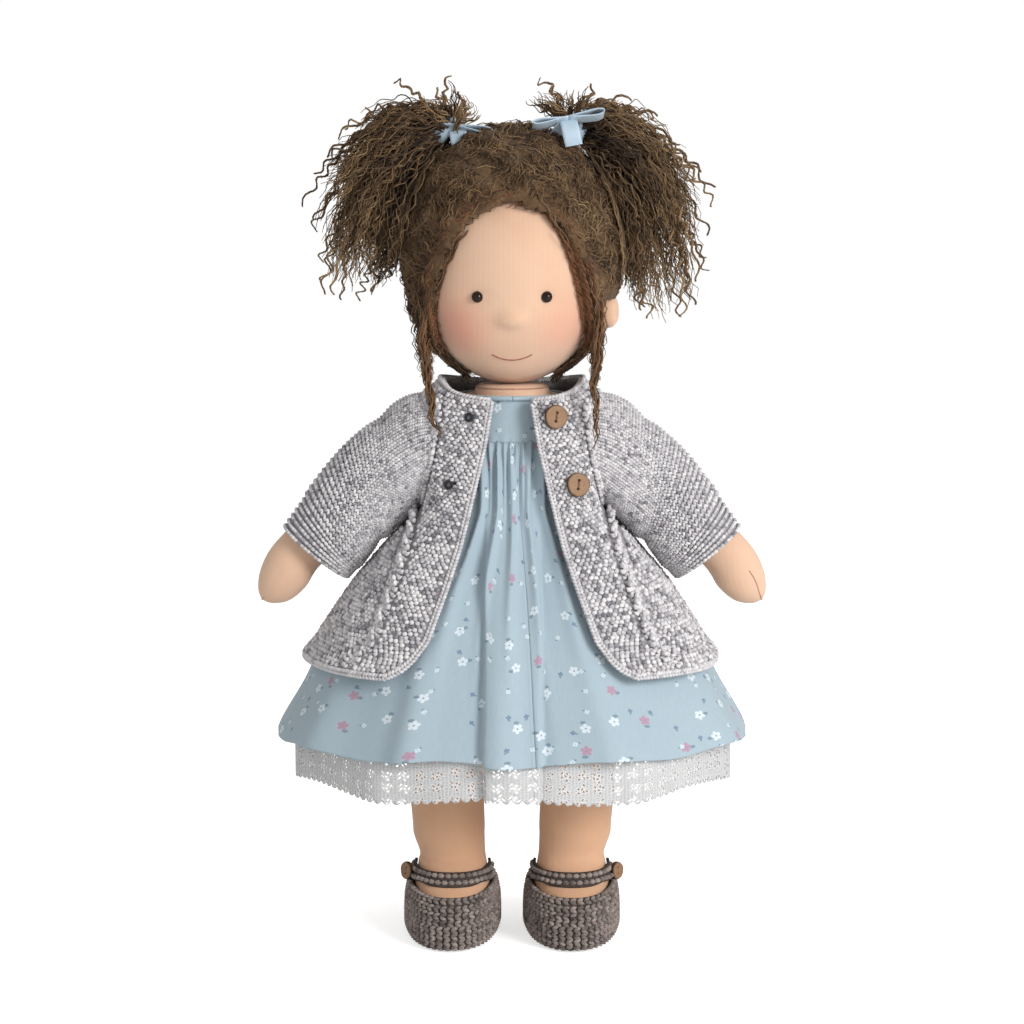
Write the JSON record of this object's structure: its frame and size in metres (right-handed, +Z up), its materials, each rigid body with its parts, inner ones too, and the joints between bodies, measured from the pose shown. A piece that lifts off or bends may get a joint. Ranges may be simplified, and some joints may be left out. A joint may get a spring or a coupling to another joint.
{
  "type": "waldorf doll",
  "caption": "Standing cloth doll with curly hair in bunches, knitted cardigan, printed cotton dress over a petticoat, and crocheted strap shoes; head, arms and legs swing.",
  "frame": {"origin": "centre of the base, level with the undersides of the shoes", "axes": "+Z up; -Y out of the face; +X to the right as seen from the front. Names with left and right are as seen from the front."},
  "size_m": [0.2402, 0.168, 0.4014],
  "materials": {
    "jersey": "fine cotton jersey, matt",
    "dress": "woven cotton with a small flower print",
    "petticoat": "white cotton with an eyelet border",
    "elastic": "woven elastic",
    "knit": "marled grey knitting yarn",
    "wood": "oiled wood",
    "thread": "twisted cotton thread",
    "bead": "polished dark glass bead",
    "lip": "embroidery thread",
    "hair": "crimped mohair locks",
    "ribbon": "satin ribbon",
    "crochet": "taupe crochet yarn"
  },
  "bodies": {
    "torso": {"torso": "jersey", "dress_yoke": "dress", "dress_neck_binding": "dress", "dress_skirt": "dress", "petticoat": "petticoat", "petticoat_border": "petticoat", "petticoat_elastic": "elastic", "cardigan_body": "knit", "buttonhole_band": "knit", "button_band": "knit", "neckband": "knit", "button_upper": "wood", "button_lower": "wood", "button_thread_upper": "thread", "button_thread_lower": "thread"},
    "neck": {"neck": "jersey", "neck_tie": "thread"},
    "head": {"head": "jersey", "eye_left": "bead", "eye_right": "bead", "mouth_stitch": "lip", "ear_left": "jersey", "ear_right": "jersey", "hair_cap": "hair", "side_lock_left": "hair", "side_lock_right": "hair", "bunch_left": "hair", "bunch_right": "hair", "ribbon_left": "ribbon", "ribbon_right": "ribbon"},
    "arm_left": {"arm_left": "jersey", "sleeve_left": "knit"},
    "leg_left": {"leg_left": "jersey", "shoe_sole_left": "crochet", "shoe_upper_left": "crochet", "shoe_strap_left": "crochet", "shoe_button_left": "wood"},
    "arm_right": {"arm_right": "jersey", "sleeve_right": "knit"},
    "leg_right": {"leg_right": "jersey", "shoe_sole_right": "crochet", "shoe_upper_right": "crochet", "shoe_strap_right": "crochet", "shoe_button_right": "wood"}
  },
  "joints": [
    {"name": "neck_tilt", "type": "hinge", "parent": "torso", "child": "neck", "pos_m": [0, 0, 0.252], "axis": [1, 0, 0], "range_deg": [-6, 6]},
    {"name": "head_turn", "type": "hinge", "parent": "neck", "child": "head", "pos_m": [0, 0, 0.2623], "axis": [0, 0, 1], "range_deg": [-40, 40]},
    {"name": "shoulder_left", "type": "hinge", "parent": "torso", "child": "arm_left", "pos_m": [-0.0428, 0, 0.2315], "axis": [-1, 0, 0], "range_deg": [-35, 100]},
    {"name": "shoulder_right", "type": "hinge", "parent": "torso", "child": "arm_right", "pos_m": [0.0428, 0, 0.2315], "axis": [-1, 0, 0], "range_deg": [-35, 100]},
    {"name": "hip_left", "type": "hinge", "parent": "torso", "child": "leg_left", "pos_m": [-0.032, 0, 0.114], "axis": [-1, 0, 0], "range_deg": [-20, 90], "deforming": ["dress_skirt", "petticoat", "petticoat_border"]},
    {"name": "hip_right", "type": "hinge", "parent": "torso", "child": "leg_right", "pos_m": [0.032, 0, 0.114], "axis": [-1, 0, 0], "range_deg": [-20, 90], "deforming": ["dress_skirt", "petticoat", "petticoat_border"]}
  ]
}
